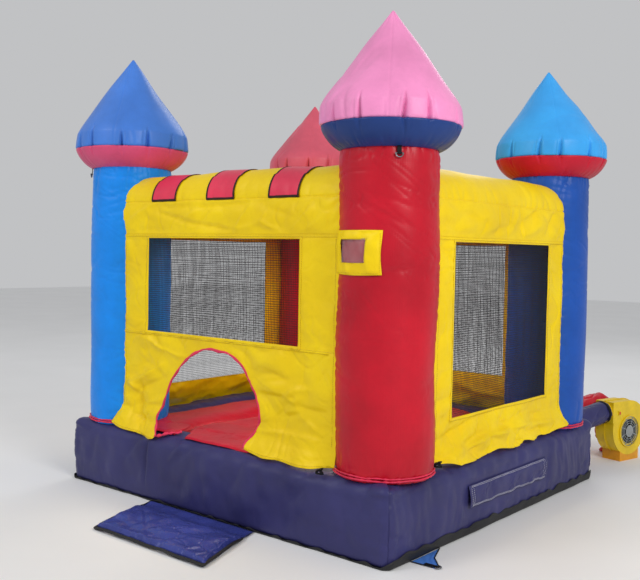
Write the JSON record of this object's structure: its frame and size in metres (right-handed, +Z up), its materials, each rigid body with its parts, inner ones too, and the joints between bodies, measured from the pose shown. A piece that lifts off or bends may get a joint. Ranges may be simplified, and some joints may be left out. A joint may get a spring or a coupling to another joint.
{
  "type": "inflatable bounce house",
  "caption": "Inflatable bounce house: round corner towers with pointed caps, net windows, arched doorway with entry step, and a blower.",
  "frame": {"origin": "centre of the inflated base, on the ground", "axes": "+X right, +Y away from the doorway, +Z up"},
  "size_m": [3.446, 4.7077, 3.278],
  "materials": {
    "vinyl_black": "PVC-coated woven polyester, soft gloss",
    "vinyl_navy": "PVC-coated woven polyester, soft gloss",
    "vinyl_crimson": "PVC-coated woven polyester, soft gloss",
    "vinyl_red": "PVC-coated woven polyester, soft gloss",
    "vinyl_blue": "PVC-coated woven polyester, soft gloss",
    "vinyl_royal": "PVC-coated woven polyester, soft gloss",
    "vinyl_dark_blue": "PVC-coated woven polyester, soft gloss",
    "vinyl_rose": "PVC-coated woven polyester, soft gloss",
    "vinyl_pink": "PVC-coated woven polyester, soft gloss",
    "vinyl_mid_blue": "PVC-coated woven polyester, soft gloss",
    "vinyl_sky": "PVC-coated woven polyester, soft gloss",
    "vinyl_coral": "PVC-coated woven polyester, soft gloss",
    "vinyl_yellow": "PVC-coated woven polyester, soft gloss",
    "vinyl_stripe_red": "PVC-coated woven polyester, soft gloss",
    "vinyl_indigo": "PVC-coated woven polyester, soft gloss",
    "vinyl_light_blue": "PVC-coated woven polyester, soft gloss",
    "baffle_fabric": "uncoated woven polyester",
    "net": "knotless woven net",
    "clear_film": "clear flexible film",
    "webbing": "woven webbing",
    "steel": "plated steel",
    "blower_plastic": "moulded, slightly dusty",
    "stand_plastic": "moulded",
    "motor_metal": "cast and painted",
    "impeller_plastic": "moulded",
    "grille_metal": "plated wire",
    "switch_plastic": "moulded"
  },
  "bodies": {
    "inflatable": {"ground_sheet": "vinyl_black", "base_front": "vinyl_navy", "base_right": "vinyl_navy", "base_back": "vinyl_navy", "base_left": "vinyl_navy", "bounce_bed": "vinyl_crimson", "base_baffles": "baffle_fabric", "tower_front_right": "vinyl_red", "tower_front_left": "vinyl_blue", "tower_back_right": "vinyl_royal", "tower_back_left": "vinyl_red", "collar_front_right": "vinyl_dark_blue", "collar_front_left": "vinyl_rose", "collar_back_right": "vinyl_crimson", "collar_back_left": "vinyl_dark_blue", "spire_front_right": "vinyl_pink", "spire_front_left": "vinyl_mid_blue", "spire_back_right": "vinyl_sky", "spire_back_left": "vinyl_coral", "tower_piping": "vinyl_rose", "beam_front": "vinyl_yellow", "beam_right": "vinyl_yellow", "beam_back": "vinyl_yellow", "beam_left": "vinyl_yellow", "awning_stripes": "vinyl_stripe_red", "stripe_edging": "vinyl_black", "roof_sheet": "vinyl_yellow", "front_wall": "vinyl_yellow", "front_apron": "vinyl_yellow", "right_wall": "vinyl_yellow", "back_wall": "vinyl_yellow", "left_wall": "vinyl_yellow", "window_nets": "net", "doorway_binding": "vinyl_rose", "notice_pocket": "vinyl_yellow", "pocket_window": "clear_film", "zip_tape": "webbing", "air_tube": "vinyl_navy", "tube_strap": "webbing", "deflation_sleeve": "vinyl_red", "tether_tabs": "webbing", "anchor_tabs": "vinyl_light_blue", "blower_housing": "blower_plastic", "blower_stand": "stand_plastic", "blower_motor": "motor_metal", "inlet_grille": "grille_metal"},
    "impeller": {"blower_impeller": "impeller_plastic"},
    "switch": {"rocker_switch": "switch_plastic"},
    "step": {"entry_step": "vinyl_indigo"},
    "zip_flap": {"zip_flap": "vinyl_navy"},
    "zip_slider": {"zip_slider": "steel"},
    "tether_ring_front_right": {"tether_ring_front_right": "steel"},
    "tether_ring_front_left": {"tether_ring_front_left": "steel"},
    "tether_ring_back_right": {"tether_ring_back_right": "steel"},
    "tether_ring_back_left": {"tether_ring_back_left": "steel"},
    "anchor_ring_front_right": {"anchor_ring_front_right": "steel"},
    "anchor_ring_front_left": {"anchor_ring_front_left": "steel"},
    "anchor_ring_back_right": {"anchor_ring_back_right": "steel"},
    "anchor_ring_back_left": {"anchor_ring_back_left": "steel"}
  },
  "joints": [
    {"name": "impeller_spin", "type": "hinge", "parent": "inflatable", "child": "impeller", "pos_m": [1.412, 2.33, 0.262], "axis": [0.9703, -0.2419, 0], "continuous": true},
    {"name": "switch_rock", "type": "hinge", "parent": "inflatable", "child": "switch", "pos_m": [1.47323, 2.16014, 0.437], "axis": [0.2419, 0.9703, 0], "range_deg": [0, 14]},
    {"name": "step_fold", "type": "hinge", "parent": "inflatable", "child": "step", "pos_m": [0, -1.445, 0.0025], "axis": [-1, 0, 0], "range_deg": [0, 75]},
    {"name": "zip_flap_lift", "type": "hinge", "parent": "inflatable", "child": "zip_flap", "pos_m": [1.52425, 0, 0.32675], "axis": [0, -1, 0], "range_deg": [0, 95]},
    {"name": "zip_slide", "type": "slide", "parent": "inflatable", "child": "zip_slider", "axis": [0, 1, 0], "range_m": [0, 1.03]},
    {"name": "tether_swing_front_right", "type": "hinge", "parent": "inflatable", "child": "tether_ring_front_right", "pos_m": [1.46295, -1.32895, 2.392], "axis": [-0.7071, -0.7071, 0], "range_deg": [0, 100]},
    {"name": "tether_swing_front_left", "type": "hinge", "parent": "inflatable", "child": "tether_ring_front_left", "pos_m": [-1.46295, -1.32895, 2.392], "axis": [-0.7071, 0.7071, 0], "range_deg": [0, 100]},
    {"name": "tether_swing_back_right", "type": "hinge", "parent": "inflatable", "child": "tether_ring_back_right", "pos_m": [1.46295, 1.32895, 2.392], "axis": [0.7071, -0.7071, 0], "range_deg": [0, 100]},
    {"name": "tether_swing_back_left", "type": "hinge", "parent": "inflatable", "child": "tether_ring_back_left", "pos_m": [-1.46295, 1.32895, 2.392], "axis": [0.7071, 0.7071, 0], "range_deg": [0, 100]},
    {"name": "anchor_swing_front_right", "type": "hinge", "parent": "inflatable", "child": "anchor_ring_front_right", "pos_m": [1.697, -1.19, 0.008], "axis": [0, -1, 0], "range_deg": [0, 150]},
    {"name": "anchor_swing_front_left", "type": "hinge", "parent": "inflatable", "child": "anchor_ring_front_left", "pos_m": [-1.697, -1.19, 0.008], "axis": [0, 1, 0], "range_deg": [0, 150]},
    {"name": "anchor_swing_back_right", "type": "hinge", "parent": "inflatable", "child": "anchor_ring_back_right", "pos_m": [1.19, 1.612, 0.008], "axis": [1, 0, 0], "range_deg": [0, 150]},
    {"name": "anchor_swing_back_left", "type": "hinge", "parent": "inflatable", "child": "anchor_ring_back_left", "pos_m": [-1.19, 1.612, 0.008], "axis": [1, 0, 0], "range_deg": [0, 150]}
  ]
}
